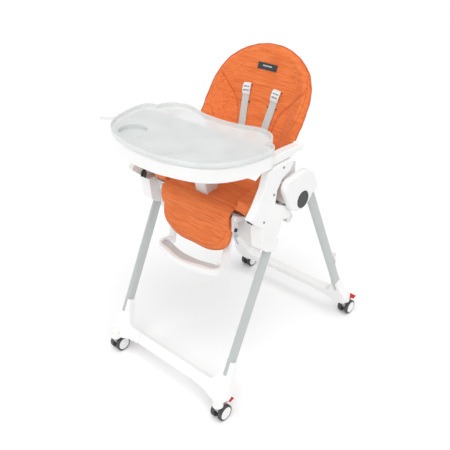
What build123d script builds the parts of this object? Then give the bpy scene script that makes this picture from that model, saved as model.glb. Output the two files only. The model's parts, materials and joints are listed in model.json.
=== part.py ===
# Folding high chair: A-frame legs on casters, a seat carriage that climbs the front tubes,
# a reclining back, a swinging leg pad with a footrest, a sliding tray and its lift-off liner.
# Units are millimetres. +Z is up, the chair faces -Y, the floor is Z = 0.
# The origin is on the floor, midway between the four casters.
from build123d import *
from math import sin, cos, atan, radians
import os

os.makedirs("parts", exist_ok=True)

# ---------------------------------------------------------------- driving dimensions
WHEELBASE = 700.0          # front to rear wheel centres
TRACK = 474.0              # left to right caster centres
TUBE_X = 231.5             # centre plane of each leg tube
TUBE_W = 34.0              # flat-oval tube, width in the plane of the side
TUBE_T = 18.0              # flat-oval tube, thickness across the chair
TUBE_WALL = 1.5
FRONT_LEAN = 25.44         # front legs, degrees from vertical
REAR_LEAN = 25.9           # rear legs, degrees from vertical
LEG_END_Z = 185.0          # height where the tubes enter the feet
FRONT_END_Y = -295.0
REAR_END_Y = 262.0
TUBE_PLUG = 45.0           # tube length hidden inside a foot
PIVOT_Y, PIVOT_Z = -33.0, 641.0      # fold hinge
FRONT_TOP = 556.0          # top of the front sleeve above the foot mouth
REAR_TOP = 560.0

WHEEL_R = 26.5
WHEEL_W = 13.0
CASTER_TRAIL = 14.0
FOOT_FLOOR = 57.0          # underside of the feet
STEM_R = 5.5

BAR_H = 38.0               # cross-bars of the two bases
BAR_T = 26.0
BAR_HALF = 131.0
BAR_DROP = 102.0           # bar centre line below the foot mouth, along the leg

FIT = 0.05                 # radial running clearance of a pin in its bore
SLIDE_GAP = 0.9            # clearance of the collars around the tubes
PART_GAP = 0.2             # clearance between fixed parts of one body
MOVE_GAP = 0.5             # clearance between parts that move past each other

PANEL_IN, PANEL_OUT = 208.0, 250.0   # side panels of the seat carriage, inner and outer faces

SEAT_TOP = 618.0
SEAT_FRONT_Y = -192.0
SEAT_REAR_Y = 0.0
SEAT_HALF = 203.0          # half width over the side wings
SEAT_FLAT = 146.0          # half width between the wings
FLAP_HALF = 225.0          # half width over the front flaps of the wings
POCKET_X = FLAP_HALF + 3.0 # the side panels are thinner than this beside the flaps
CUSHION_T = 24.0
SHELL_T = 9.0

BACK_LEAN = 20.94          # degrees from vertical
BACK_Y, BACK_Z = 114.0, 871.0        # middle of the strap slots on the front of the pad
BACK_TOP = 134.0           # pad outline above the slots, along the back
BACK_LOW = -250.0
BACK_HALF = 189.0
BACK_T = 34.0
BACK_SHELL_T = 14.0
SLOT_X = 57.0
STRAP_W = 25.0
STRAP_T = 2.0
STRAP_END = -232.0
RECLINE_Y, RECLINE_Z = 20.0, 598.0

LEGREST_Y, LEGREST_Z = -188.0, 598.0
LEGREST_LEAN = 11.0
LEGREST_LEN = 130.0
LEGREST_HALF = 139.0
LEGREST_T = 22.0

FOOTREST_HALF = 127.0
FOOTREST_Z = 424.0
FOOTREST_FRONT = -276.0
TREAD_W = 33.0

TRAY_LOW, TRAY_TOP = 779.0, 820.0
TRAY_REAR = -138.0
TRAY_FRONT = -390.0
TRAY_HALF = 253.0
TRAY_WALL = 4.0
TRAY_CAVITY = 811.0         # underside of the tray deck
LINER_FLOOR = 3.0
LINER_WALL = 3.5
LINER_H = 15.0
LINER_OVERHANG = 3.0
CUP_X, CUP_Y, CUP_R = -140.0, -300.0, 44.0

POST_W = 48.0
POST_FRONT, POST_REAR = -172.0, -119.0

ARM_IN, ARM_OUT = 212.0, 240.0
ARM_REAR, ARM_FRONT = -4.0, -200.0
ARM_LOW, ARM_TOP = 774.0, 800.0

SIDES = {"left": -1, "right": 1}


# ---------------------------------------------------------------- helpers
def save(shape, node):
    export_step(shape, f"parts/{node}.step")


def group(*solids):
    return Compound(children=list(solids))


def side_plane(x):
    """Plane across the chair at x: local x is +Y, local y is +Z, normal +X."""
    return Plane(origin=(x, 0, 0), x_dir=(0, 1, 0), z_dir=(1, 0, 0))


def slab(face, x0, x1):
    """Side-view face (y, z) made solid between two x values."""
    return extrude(side_plane(x0) * face, x1 - x0)


def disc(y, z, r):
    return Pos(y, z) * Circle(r)


def rod(y, z, r, x0, x1):
    """Round bar along X."""
    return slab(disc(y, z, r), x0, x1)


def block(x0, x1, y0, y1, z0, z1):
    return Pos((x0 + x1) / 2, (y0 + y1) / 2, (z0 + z1) / 2) * Box(x1 - x0, y1 - y0, z1 - z0)


def hull2(*circles):
    """Convex outline around circles given as (y, z, r)."""
    edges = Sketch() + [disc(*c) for c in circles]
    return make_hull(edges.edges())


def mirrored(shape):
    return mirror(shape, about=Plane.YZ)


def pair(shape):
    """Right-hand solid and its left-hand twin."""
    return {"right": shape, "left": mirrored(shape)}


def rounded(solid, radius, pick=None):
    """Round all edges, or the edges that pick() returns."""
    edges = pick(solid) if pick else solid.edges()
    return fillet(edges, radius)


# ---------------------------------------------------------------- leg planes
fl, rl = radians(FRONT_LEAN), radians(REAR_LEAN)
FRONT_UP = Vector(0, sin(fl), cos(fl))
REAR_UP = Vector(0, -sin(rl), cos(rl))


def leg_plane(side, front=True):
    """On the tube axis at the foot mouth: local x across, local y up the leg."""
    up = FRONT_UP if front else REAR_UP
    y = FRONT_END_Y if front else REAR_END_Y
    normal = Vector(1, 0, 0).cross(up)
    return Plane(origin=(side * TUBE_X, y, LEG_END_Z), x_dir=(1, 0, 0), z_dir=normal)


def along(v, side, front=True, grow=0.0):
    """Flat-oval tube section at distance v up the leg, grown by a clearance."""
    up = FRONT_UP if front else REAR_UP
    y = FRONT_END_Y if front else REAR_END_Y
    at = Vector(side * TUBE_X, y, LEG_END_Z) + up * v
    section = Plane(origin=at, x_dir=Vector(1, 0, 0).cross(up), z_dir=up)
    return section * SlotOverall(TUBE_W + 2 * grow, TUBE_T + 2 * grow)


def tube_solid(v0, v1, side, front=True, grow=0.0):
    up = FRONT_UP if front else REAR_UP
    return extrude(along(v0, side, front, grow), amount=v1 - v0, dir=up)


def leg_tube(side, front, top):
    outer = tube_solid(-TUBE_PLUG, top, side, front)
    return outer - tube_solid(-TUBE_PLUG, top, side, front, -TUBE_WALL)


# ---------------------------------------------------------------- bases
FOOT_T = 30.0
BASE = leg_plane(0, True)


def caster_y(front):
    """Swivel axis; the wheels trail behind it."""
    return (-WHEELBASE / 2 if front else WHEELBASE / 2) - CASTER_TRAIL


def foot(front):
    """Right foot: sweeps from the tube mouth in to the cross-bar and holds a caster."""
    plane = leg_plane(0, front)
    bar_top, bar_low = -BAR_DROP + BAR_H / 2, -BAR_DROP - BAR_H / 2
    outline = make_face(
        Polyline((BAR_HALF, bar_low), (BAR_HALF, bar_top), (172, bar_top + 2))
        + Spline((172, bar_top + 2), (200, -54), (218.5, 0), tangents=[(1, 0.05), (0.12, 1)])
        + Line((218.5, 0), (245, 0))
        + Spline((245, 0), (259, -70), (256, -124), (226, -140), tangents=[(0.12, -1), (-1, -0.12)])
        + Spline((226, -140), (185, -129), (BAR_HALF, bar_low), tangents=[(-1, 0.05), (-1, 0.02)])
    )
    body = extrude(plane * outline, amount=FOOT_T / 2, both=True)
    body = fillet(body.edges().filter_by(lambda e: e.length > 60), 6)
    stem_y = caster_y(front)
    boss = Pos(TRACK / 2, stem_y, FOOT_FLOOR) * extrude(Circle(17), 30)
    body = body + boss
    below = block(0, 400, -500, 500, -60, FOOT_FLOOR)
    body = body - below
    body = body - tube_solid(-TUBE_PLUG - PART_GAP, 30, 1, front, PART_GAP)
    bore = Pos(TRACK / 2, stem_y, FOOT_FLOOR - 1) * extrude(Circle(STEM_R + FIT), 24)
    return body - bore


def crossbar(front):
    plane = leg_plane(0, front)
    face = plane * (Pos(0, -BAR_DROP) * Rectangle(2 * BAR_HALF - 2 * PART_GAP, BAR_H))
    bar = extrude(face, amount=BAR_T / 2, both=True)
    return fillet(bar.edges().filter_by(Axis.X), 7)


# ---------------------------------------------------------------- fold hinge
SLEEVE_LOW, SLEEVE_HALF, SLEEVE_T = 501.0, 24.0, 37.0
HINGE_R = 34.0
HINGE_PIN_R = 14.0
COVER_IN, COVER_OUT = 252.0, 268.0
BUTTON_R, BUTTON_TRAVEL = 26.0, 4.0
DOME = ((-38.0, 670.0, 63.0), (-95.0, 700.0, 26.0), (-33.0, 641.0, 36.0))


def leg_top():
    """Right sleeve on the front tube with the hinge disc and its pin."""
    plane = leg_plane(1, True)
    up, normal = FRONT_UP, plane.z_dir
    mid = (SLEEVE_LOW + FRONT_TOP) / 2
    centre = Vector(TUBE_X, FRONT_END_Y, LEG_END_Z) + up * mid
    frame = Plane(origin=centre, x_dir=(1, 0, 0), z_dir=normal)
    sleeve = frame * Box(SLEEVE_T, FRONT_TOP - SLEEVE_LOW, 2 * SLEEVE_HALF)
    sleeve = fillet(sleeve.edges().filter_by(Axis.X), 9)
    hub = rod(PIVOT_Y, PIVOT_Z, HINGE_R, TUBE_X - SLEEVE_T / 2, TUBE_X + SLEEVE_T / 2)
    pin = rod(PIVOT_Y, PIVOT_Z, HINGE_PIN_R, TUBE_X + SLEEVE_T / 2 - 1, COVER_IN + 4)
    body = sleeve + hub + pin
    return body - tube_solid(SLEEVE_LOW - 1, FRONT_TOP - 6, 1, True, PART_GAP)


def hinge_cover():
    """Right domed cover that turns on the hinge pin and plugs the rear tube."""
    dome = slab(hull2(*DOME), COVER_IN, COVER_OUT)
    dome = fillet(dome.faces().sort_by(Axis.X)[-1].edges(), 9)
    reach = 21.0
    low, high = REAR_TOP - 62, REAR_TOP + 4
    mid = Vector(TUBE_X, REAR_END_Y, LEG_END_Z) + REAR_UP * ((low + high) / 2)
    frame = Plane(origin=mid, x_dir=(1, 0, 0), z_dir=Vector(1, 0, 0).cross(REAR_UP))
    inner, outer = TUBE_X - SLEEVE_T / 2, COVER_IN + 1
    socket = frame * (Pos((inner + outer) / 2 - TUBE_X, 0, 0) * Box(outer - inner, high - low, 2 * reach))
    socket = fillet(socket.edges().filter_by(Axis.X), 8)
    body = dome + socket
    body = body - tube_solid(low - 1, REAR_TOP + PART_GAP, 1, False, PART_GAP)
    body = body - rod(PIVOT_Y, PIVOT_Z, HINGE_PIN_R + FIT, COVER_IN - 1, COVER_IN + 4 + MOVE_GAP)
    well = COVER_OUT - BUTTON_TRAVEL - 5
    return body - rod(PIVOT_Y, PIVOT_Z, BUTTON_R + MOVE_GAP, well, COVER_OUT + 1)


def fold_button():
    base = COVER_OUT - 5 + MOVE_GAP
    cap = rod(PIVOT_Y, PIVOT_Z, BUTTON_R, base, COVER_OUT + 2)
    return fillet(cap.faces().sort_by(Axis.X)[-1].edges(), 2.5)


def tray_hook():
    """Right hook on the back of the rear tube that parks the tray."""
    at = Vector(TUBE_X, REAR_END_Y, LEG_END_Z) + REAR_UP * 110
    frame = Plane(origin=at, x_dir=(1, 0, 0), z_dir=Vector(1, 0, 0).cross(REAR_UP) * -1)
    clip = frame * (Pos(0, 0, TUBE_W / 2 + 1) * Box(16, 40, 8))
    lip = frame * (Pos(0, -14, TUBE_W / 2 + 9) * Box(16, 8, 10))
    return clip + lip - tube_solid(60, 160, 1, False, PART_GAP)


# ---------------------------------------------------------------- casters
AXLE_R = 3.0
WEB_T = 14.0
PEDAL_Y, PEDAL_Z = 13.0, 43.0       # pedal pivot from the wheel centre line and the floor
PEDAL_T = 5.4


def caster_housing(x, y):
    """Swivel stem, web between the wheels, axle and pedal pin. y is the wheel centre."""
    web = hull2((y, WHEEL_R, 12), (y - CASTER_TRAIL, 44, 9), (y + PEDAL_Y - 2, 40, 9))
    body = slab(web, x - WEB_T / 2, x + WEB_T / 2)
    flange = Pos(x, y - CASTER_TRAIL, 53.4) * extrude(Circle(11), FOOT_FLOOR - MOVE_GAP - 53.4)
    stem = Pos(x, y - CASTER_TRAIL, 50) * extrude(Circle(STEM_R), FOOT_FLOOR + 21 - 50)
    slot = block(x - 3, x + 3, y + 3, y + 40, PEDAL_Z - 9, 70)
    body = body + flange + stem - slot
    axle_half = WEB_T / 2 + 1 + WHEEL_W - 3
    body = body + rod(y, WHEEL_R, AXLE_R, x - axle_half, x + axle_half)
    return body + rod(y + PEDAL_Y, PEDAL_Z, 2, x - 5, x + 5)


def caster_wheels(x, y):
    """Twin wheels, each with a shallow recess for its hub disc."""
    out = []
    for s in (-1, 1):
        near = x + s * (WEB_T / 2 + 1)
        far = near + s * WHEEL_W
        tyre = rod(y, WHEEL_R, WHEEL_R, min(near, far), max(near, far))
        tyre = fillet(tyre.edges().filter_by(GeomType.CIRCLE), 2.5)
        bore = rod(y, WHEEL_R, AXLE_R + FIT, min(near, far - s * 2.2), max(near, far - s * 2.2))
        face = rod(y, WHEEL_R, 21, min(far, far - s * 1.2), max(far, far - s * 1.2))
        out.append(tyre - bore - face)
    return group(*out)


def brake_pedal(x, y):
    """Red foot pedal; presses down behind the wheels."""
    py = y + PEDAL_Y
    arm = slab(hull2((py, PEDAL_Z, 4.6), (py + 17, PEDAL_Z + 3, 3)), x - PEDAL_T / 2, x + PEDAL_T / 2)
    pad = slab(hull2((py + 17, PEDAL_Z + 4, 2.6), (py + 30, PEDAL_Z + 6.5, 2.6)), x - 12, x + 12)
    body = arm + pad
    return body - rod(py, PEDAL_Z, 2 + FIT, x - 5, x + 5)


# ---------------------------------------------------------------- seat carriage
PANEL = (
    (-58, 773), (-76, 742), (-112, 728), (-131, 702), (-138, 664),
    (-122, 652), (-66, 626), (-58, 600), (-75, 588), (-98, 596), (-124, 541),
    (-112, 536), (-128, 500), (-170, 519), (-187, 534), (-194, 606),
    (-243, 650), (-219, 677), (-188, 724), (-172, 773),
)


def slider_housing():
    """Right side panel with the two collars that run on the front tube."""
    body = slab(make_face(Polyline(*PANEL, close=True)), PANEL_IN, PANEL_OUT)
    body = fillet(body.edges().filter_by(Axis.X), 3.5)
    body = fillet(body.faces().sort_by(Axis.X)[-1].edges(), 2.5)
    pocket = make_face(Polyline((-270, 608), (-142, 608), (-132, 648), (-60, 660), (-40, 790), (-270, 790), close=True))
    body = body - slab(pocket, PANEL_IN - 1, POCKET_X)
    return body - tube_solid(200, 620, 1, True, SLIDE_GAP)


def height_lever():
    """Right height lever under the upper collar."""
    outline = make_face(Polyline((-50, 596), (-46, 580), (-57, 568), (-72, 572), (-74, 585), (-60, 594), close=True))
    body = slab(outline, TUBE_X - 14, TUBE_X + 14)
    return fillet(body.edges().filter_by(Axis.X), 4)


def armrest():
    """Right armrest, arched along its length, on top of the side panel."""
    outline = make_face(
        Line((ARM_FRONT, ARM_LOW + PART_GAP), (-62, ARM_LOW + PART_GAP))
        + Line((-62, ARM_LOW + PART_GAP), (-22, ARM_LOW + 8))
        + ThreePointArc((-22, ARM_LOW + 8), (ARM_REAR, ARM_LOW + 15), (-22, ARM_TOP - 3))
        + Spline((-22, ARM_TOP - 3), (-80, ARM_TOP), (-140, ARM_TOP - 1), (ARM_FRONT, ARM_TOP - 8))
        + Line((ARM_FRONT, ARM_TOP - 8), (ARM_FRONT, ARM_LOW + PART_GAP))
    )
    body = slab(outline, ARM_IN, ARM_OUT)
    return fillet(body.edges().filter_by(lambda e: e.length > 40), 4)


def seat_cross_member():
    """Arched bridge under the seat between the side panels."""
    half = PANEL_IN - PART_GAP
    top = SEAT_TOP - CUSHION_T - SHELL_T - PART_GAP
    outline = make_face(
        Line((-half, 496), (-half, top)) + Line((-half, top), (half, top)) + Line((half, top), (half, 496))
        + Line((half, 496), (half - 14, 494))
        + Spline((half - 14, 494), (150, 503), (105, 530), (0, 548), (-105, 530), (-150, 503), (14 - half, 494))
        + Line((14 - half, 494), (-half, 496))
    )
    plane = Plane(origin=(0, -104, 0), x_dir=(1, 0, 0), z_dir=(0, -1, 0))
    return extrude(plane * outline, 46)


def seat_shell():
    """Pan that carries the cushion, with lugs for the back and the leg pad."""
    top = SEAT_TOP - CUSHION_T - PART_GAP
    low = top - SHELL_T + PART_GAP
    wall_in = SEAT_HALF + PART_GAP
    wall_out = PANEL_IN - PART_GAP
    pan = block(-wall_out, wall_out, -160, -2, low, top)
    body = pan
    for s in (-1, 1):
        xs = sorted((s * wall_in, s * wall_out))
        wall = slab(make_face(Polyline((-150, low), (-150, 612), (-99, 617), (-96, 728), (6, 728), (6, low), close=True)), *xs)
        cheek_x = sorted((s * 114, s * 126))
        cheek = slab(hull2((RECLINE_Y, RECLINE_Z, 13), (-14, low + 4.4, 4.2)), *cheek_x)
        pin = rod(RECLINE_Y, RECLINE_Z, 8, *sorted((s * 94, s * 116)))
        lug_x = sorted((s * 149, s * 157))
        lug = slab(hull2((LEGREST_Y, LEGREST_Z, 9), (-154, low + 4.5, 4.2)), *lug_x)
        lug_pin = rod(LEGREST_Y, LEGREST_Z, 4, *sorted((s * 141.5, s * 150)))
        body = body + wall + cheek + pin + lug + lug_pin
    return body


def seat_cushion():
    """Seat pad with raised side wings and an undercut front lip."""
    base = SEAT_TOP - CUSHION_T
    pad_side = make_face(Polyline(
        (SEAT_REAR_Y - 24, base), (SEAT_REAR_Y, base + 14), (SEAT_REAR_Y - 2, SEAT_TOP + 6),
        (-60, SEAT_TOP), (-170, SEAT_TOP), (SEAT_FRONT_Y + 2, SEAT_TOP - 4),
        (SEAT_FRONT_Y, SEAT_TOP - 8), (-172, LEGREST_Z + 11), (-166, base), close=True))
    flat = slab(pad_side, -SEAT_HALF + 1, SEAT_HALF - 1)
    wing_side = make_face(Polyline(
        (SEAT_REAR_Y - 24, base), (SEAT_REAR_Y, base + 14), (SEAT_REAR_Y - 4, 732), (-98, 734), (-137, 690), (-150, 664),
        (-186, 650), (SEAT_FRONT_Y, SEAT_TOP - 2), (-166, base), close=True))
    flap_side = make_face(Polyline(
        (-106, 668), (-106, 727), (-111, 725), (-137, 690), (-150, 664), (-186, 650), (-191, 622), (-150, 622),
        (-138, 655), (-130, 666), close=True))
    body = flat
    for s in (-1, 1):
        body = body + slab(flap_side, *sorted((s * (SEAT_HALF - 6), s * FLAP_HALF)))
        wing = slab(wing_side, *sorted((s * SEAT_FLAT, s * SEAT_HALF)))
        slope = make_face(Polyline(
            (s * (SEAT_FLAT - 20), SEAT_TOP), (s * (SEAT_FLAT + 8), SEAT_TOP + 6), (s * (SEAT_HALF - 24), 760),
            (s * (SEAT_FLAT - 60), 760), close=True))
        cutter = extrude(Plane(origin=(0, 40, 0), x_dir=(1, 0, 0), z_dir=(0, -1, 0)) * slope, 280)
        body = body + (wing - cutter)
    lug_room = LEGREST_Z + 12
    for s in (-1, 1):
        xs = sorted((s * 138, s * 160))
        body = body - block(xs[0], xs[1], -210, -150, 560, lug_room)
    return body


def housing_screws():
    """Three screw heads on each side panel."""
    heads = []
    for s in (-1, 1):
        for y, z in ((-108, 762), (-147, 694), (-187, 624)):
            xs = sorted((s * (PANEL_OUT + 0.02), s * (PANEL_OUT + 1.2)))
            heads.append(rod(y, z, 3.2, *xs))
    return group(*heads)


def strap_tabs():
    """Dark webbing tab and end loop at each front corner of the seat."""
    tabs = []
    for s in (-1, 1):
        x0, x1 = sorted((s * (FLAP_HALF + 0.6), s * (FLAP_HALF + 2.2)))
        web = slab(make_face(Polyline((-153, 642), (-153, 658), (-200, 640), (-200, 624), close=True)), x0, x1)
        x0, x1 = sorted((s * (FLAP_HALF - 18), s * (FLAP_HALF + 2.2)))
        loop = slab(make_face(Polyline((-196, 641), (-196, 621), (-217, 613), (-217, 633), close=True)), x0, x1)
        tabs.append(web + loop)
    return group(*tabs)


# ---------------------------------------------------------------- back
bl = radians(BACK_LEAN)
BACK_PLANE = Plane(origin=(0, BACK_Y, BACK_Z), x_dir=(1, 0, 0), z_dir=(0, -cos(bl), sin(bl)))


RIM_DEEP = 0.243            # how fast the side bolsters rise toward the seat
RIM_START = 116.0
WING_FRONT_Y = 14.0         # the bolsters are cut upright here, clear of the seat wings
ra = atan(RIM_DEEP)
RIM_TILT = Plane(origin=(0, RIM_START, 0), x_dir=(1, 0, 0), z_dir=(0, sin(ra), cos(ra)))
RIM_PLANE = Plane(BACK_PLANE.location * RIM_TILT.location)
OUTLINE = ((0, 134), (66, 124), (121, 98), (160, 62), (181, 20), (189, -40), (184, -110), (168, -190))


def back_outline(inset=0.0, drop=0.0, low=BACK_LOW, stretch=1.0, shift=0.0):
    """Pad outline in the plane of the back: round top, slightly narrower foot."""
    across = (BACK_HALF - inset) / BACK_HALF
    upper = (BACK_TOP - drop) / BACK_TOP
    right = [(x * across, (v * (upper if v > 0 else 1) - shift) * stretch) for x, v in OUTLINE]
    foot_pt = (150 * across, (low - shift) * stretch)
    curve = Spline(*right, foot_pt, tangents=[(1, 0), (-0.2, -1)])
    left = mirror(curve, about=Plane.YZ)
    return make_face(curve + Line(foot_pt, (-foot_pt[0], foot_pt[1])) + left)


def rim_outline(inset=0.0, drop=0.0, low=BACK_LOW):
    """The same outline laid on the sloping rim plane."""
    return back_outline(inset, drop, low, 1 / cos(ra), RIM_START)


def backrest_cushion():
    """Dished pad: flat middle, side bolsters that flare forward, more so toward the seat."""
    outer = loft([BACK_PLANE.offset(-BACK_T) * back_outline(62, 26), RIM_PLANE * rim_outline()])
    hollow = loft([BACK_PLANE * back_outline(80, 40, BACK_LOW - 60),
                   RIM_PLANE.offset(2) * rim_outline(15, 12, BACK_LOW - 60)])
    front = block(-300, 300, -200, WING_FRONT_Y, 500, 900)
    return outer - hollow - front


def backrest_shell():
    """Moulded back panel with two hinge lugs at its foot."""
    plane = BACK_PLANE.offset(-BACK_T - PART_GAP)
    plate = loft([plane * back_outline(66, 30, BACK_LOW - 4),
                  plane.offset(-BACK_SHELL_T) * back_outline(76, 40, BACK_LOW + 4)])
    body = plate
    root = BACK_PLANE * Pos(0, BACK_LOW + 16, -BACK_T - 8)
    ry, rz = root.position.Y, root.position.Z
    for s in (-1, 1):
        xs = sorted((s * 96, s * 112))
        lug = slab(hull2((RECLINE_Y, RECLINE_Z, 15), (ry, rz, 7)), *xs)
        trim = extrude(plane * (Pos(0, BACK_LOW + 200) * Rectangle(420, 400)), 80)
        body = body + (lug - trim) - rod(RECLINE_Y, RECLINE_Z, 8 + FIT, *xs)
    return body


def shoulder_straps():
    """Webbing from the slots down the front of the back."""
    out = []
    for s in (-1, 1):
        top, low = (s * SLOT_X, 2), (s * 31, STRAP_END)
        face = make_face(Polyline(
            (top[0] - STRAP_W / 2, top[1]), (top[0] + STRAP_W / 2, top[1]),
            (low[0] + STRAP_W / 2, low[1]), (low[0] - STRAP_W / 2, low[1]), close=True))
        out.append(extrude(BACK_PLANE.offset(0.1) * face, STRAP_T))
    return group(*out)


def strap_adjusters():
    """Ladder buckle on each strap."""
    out = []
    for s in (-1, 1):
        at = BACK_PLANE.offset(STRAP_T + 0.2) * Pos(s * 55, -10, 2.2)
        frame = at * Box(30, 38, 4.4)
        frame = fillet(frame.edges().filter_by(lambda e: e.length < 5), 2)
        for k in (-9, 9):
            frame = frame - at * Pos(0, k, 0) * Box(22, 7, 10)
        out.append(frame)
    return group(*out)


def back_label():
    return extrude(BACK_PLANE.offset(0.1) * (Pos(0, 65) * RectangleRounded(72, 20, 3)), 1.2)


def recline_handle():
    """Grip behind the top of the back that frees the recline."""
    plane = BACK_PLANE.offset(-BACK_T - BACK_SHELL_T - PART_GAP - MOVE_GAP)
    grip = extrude(plane * (Pos(0, 30) * SlotOverall(110, 30)), -18)
    return grip - extrude(plane.offset(-4) * (Pos(0, 30) * SlotOverall(92, 14)), -20)


# ---------------------------------------------------------------- leg pad and footrest
ll = radians(LEGREST_LEAN)
PAD_FRONT = LEGREST_Y - 8
LEG_PLANE = Plane(origin=(0, PAD_FRONT, LEGREST_Z - 1), x_dir=(1, 0, 0), z_dir=(0, -cos(ll), sin(ll)))


def legrest_outline(inset=0.0, length=LEGREST_LEN):
    half = LEGREST_HALF - inset
    right = Line((half, 0), (half, -56)) + Spline(
        (half, -56), (half - 24, -length + 27), (half - 66, -length + 6), (0, -length + inset),
        tangents=[(0, -1), (-1, 0)])
    left = mirror(right, about=Plane.YZ)
    return make_face(right + left + Line((-half, 0), (half, 0)))


def legrest_cushion():
    body = extrude(LEG_PLANE * legrest_outline(), -LEGREST_T)
    return fillet(body.faces().sort_by(Axis.Y)[0].edges(), 7)


def legrest_shell():
    """Plate behind the pad with side arms up to the hinge pins."""
    back = LEG_PLANE.offset(-LEGREST_T - PART_GAP)
    body = extrude(back * legrest_outline(5, LEGREST_LEN - 4), -7)
    mid = back * Pos(0, -34, -3.5)
    my, mz = mid.position.Y, mid.position.Z
    for s in (-1, 1):
        xs = sorted((s * (LEGREST_HALF + 1.4), s * (LEGREST_HALF + 8.4)))
        arm = slab(hull2((LEGREST_Y, LEGREST_Z, 9), (my, mz, 3.5), (my - 10, mz, 9)), *xs)
        bridge = rod(my, mz, 3.4, *sorted((s * (LEGREST_HALF - 10), s * (LEGREST_HALF + 2))))
        body = body + arm + bridge - rod(LEGREST_Y, LEGREST_Z, 4 + FIT, *xs)
        well = rod(my - 10, mz, 6 + 0.4, *sorted((s * (LEGREST_HALF + 4.4), s * (LEGREST_HALF + 9))))
        body = body - well
    return body


def legrest_button():
    back = LEG_PLANE.offset(-LEGREST_T - PART_GAP) * Pos(0, -34, -3.5)
    y, z = back.position.Y - 10, back.position.Z
    return rod(y, z, 6, LEGREST_HALF + 7.4, LEGREST_HALF + 12)


def footrest_frame():
    """Rim of the tread and the two arms that run up behind the leg pad."""
    rim = loop_face(0, 0) - loop_face(9, 0)
    body = extrude(Plane.XY.offset(FOOTREST_Z - 8) * rim, 20)
    back = LEG_PLANE.offset(-LEGREST_T - PART_GAP - 7 - MOVE_GAP)
    for s in (-1, 1):
        arm = extrude(back * (Pos(s * 113, -122) * Rectangle(23, 120)), -9)
        heel = block(*sorted((s * 101.5, s * 124.5)), -216, -192, FOOTREST_Z - 8, FOOTREST_Z + 12)
        keep = block(-300, 300, -400, 0, FOOTREST_Z - 8, 700)
        body = body + ((arm + heel) & keep)
    return body


def loop_face(inset, deep):
    """D-shaped footrest outline seen from above."""
    half = FOOTREST_HALF - inset
    front = FOOTREST_FRONT + inset
    rear = -206 - deep
    bend = -224
    curve = Line((half, rear), (half, bend)) + Spline(
        (half, bend), (half - 38, front + 17), (0, front), tangents=[(0, -1), (-1, 0)])
    other = mirror(curve, about=Plane.YZ)
    return make_face(curve + other + Line((-half, rear), (half, rear)))


def footrest_tread():
    """Wide band inside the rim that the feet stand on."""
    inner = ThreePointArc((-112, -206), (0, FOOTREST_FRONT + 9 + TREAD_W), (112, -206))
    gap = make_face(inner + Polyline((112, -206), (112, -150), (-112, -150), (-112, -206)))
    face = loop_face(9 + PART_GAP, 11) - gap
    return extrude(Plane.XY.offset(FOOTREST_Z - 3) * face, 9)


# ---------------------------------------------------------------- tray
def tray_outline(inset=0.0, rear=TRAY_REAR):
    half = TRAY_HALF - inset
    front = TRAY_FRONT + inset
    y = rear - inset
    c = 36 - inset / 2
    mid = c * (1 - cos(radians(45)))
    corner = ThreePointArc((half - c, y), (half - mid, y - mid), (half, y - c))
    curve = Spline((half, y - c), (half - 6, -225), (half - 36, -305), (half - 92, -356),
                   (half - 175, front + 8), (0, front), tangents=[(0, -1), (-1, 0)])
    right = corner + curve
    left = mirror(right, about=Plane.YZ)
    return make_face(right + left + Line((-half + c, y), (half - c, y)))


def tray_base():
    """Tray body: a skirted shell that slides over the armrests, with a cup well."""
    outer = extrude(Plane.XY.offset(TRAY_LOW) * tray_outline(), TRAY_TOP - TRAY_LOW)
    outer = fillet(outer.faces().sort_by(Axis.Z)[-1].edges(), 5)
    cavity = extrude(Plane.XY.offset(TRAY_LOW - 1) * tray_outline(TRAY_WALL), TRAY_CAVITY - TRAY_LOW + 1)
    deck = extrude(Plane.XY.offset(TRAY_TOP - 4) * tray_outline(16), 10)
    cup = Pos(CUP_X, CUP_Y, TRAY_TOP - 13) * extrude(Circle(CUP_R + 3), 30)
    well = Pos(CUP_X, CUP_Y, TRAY_TOP - 16) * extrude(Circle(CUP_R + 6), 12)
    body = outer - cavity - deck + (well & outer) - cup
    for s in (-1, 1):
        xs = sorted((s * (ARM_IN - 4), s * (ARM_OUT + 3)))
        body = body - block(xs[0], xs[1], TRAY_REAR - 42, TRAY_REAR + 10, TRAY_LOW - 1, ARM_TOP + 5)
    return body


def crotch_post():
    """Divider under the tray that keeps the child's legs apart."""
    top = TRAY_CAVITY - PART_GAP
    low = SEAT_TOP + 2
    face = make_face(Polyline((POST_FRONT, low), (POST_REAR, low), (POST_REAR - 37, top), (POST_FRONT - 44, top),
                              close=True))
    body = slab(face, -POST_W / 2, POST_W / 2)
    return fillet(body.edges().filter_by(lambda e: e.length > 100), 6)


def liner_outline(inset=0.0):
    """Tray outline with a dished rear edge that reaches back toward the child."""
    half = 216 - inset
    right = Spline((0, -98 - inset), (80, -88 - inset), (150, -72 - inset), (196 - inset, -92 - inset), (half, -150),
                   tangents=[(1, 0), (0, -1)])
    foot = Polyline((half, -150), (half, -200), (-half, -200), (-half, -150))
    return tray_outline(inset - LINER_OVERHANG) + make_face(right + mirror(right, about=Plane.YZ) + foot)


def over_tray():
    """Frosted liner: shallow dish with a cup well and a finger tab."""
    low = TRAY_TOP + MOVE_GAP
    dish = extrude(Plane.XY.offset(low) * liner_outline(), LINER_H)
    dish = dish - extrude(Plane.XY.offset(low + LINER_FLOOR) * liner_outline(LINER_WALL), LINER_H)
    cup = Pos(CUP_X, CUP_Y, low - 12) * extrude(Circle(CUP_R), 12 + LINER_FLOOR)
    hole = Pos(CUP_X, CUP_Y, low - 12 + LINER_FLOOR) * extrude(Circle(CUP_R - 3), 30)
    tab = Pos(-238, -300, low + LINER_H - 5) * Rot(0, 0, 40) * extrude(SlotOverall(58, 14), 4)
    return (dish + cup - hole) + (tab - extrude(Plane.XY.offset(low) * liner_outline(1), 40))


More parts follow.
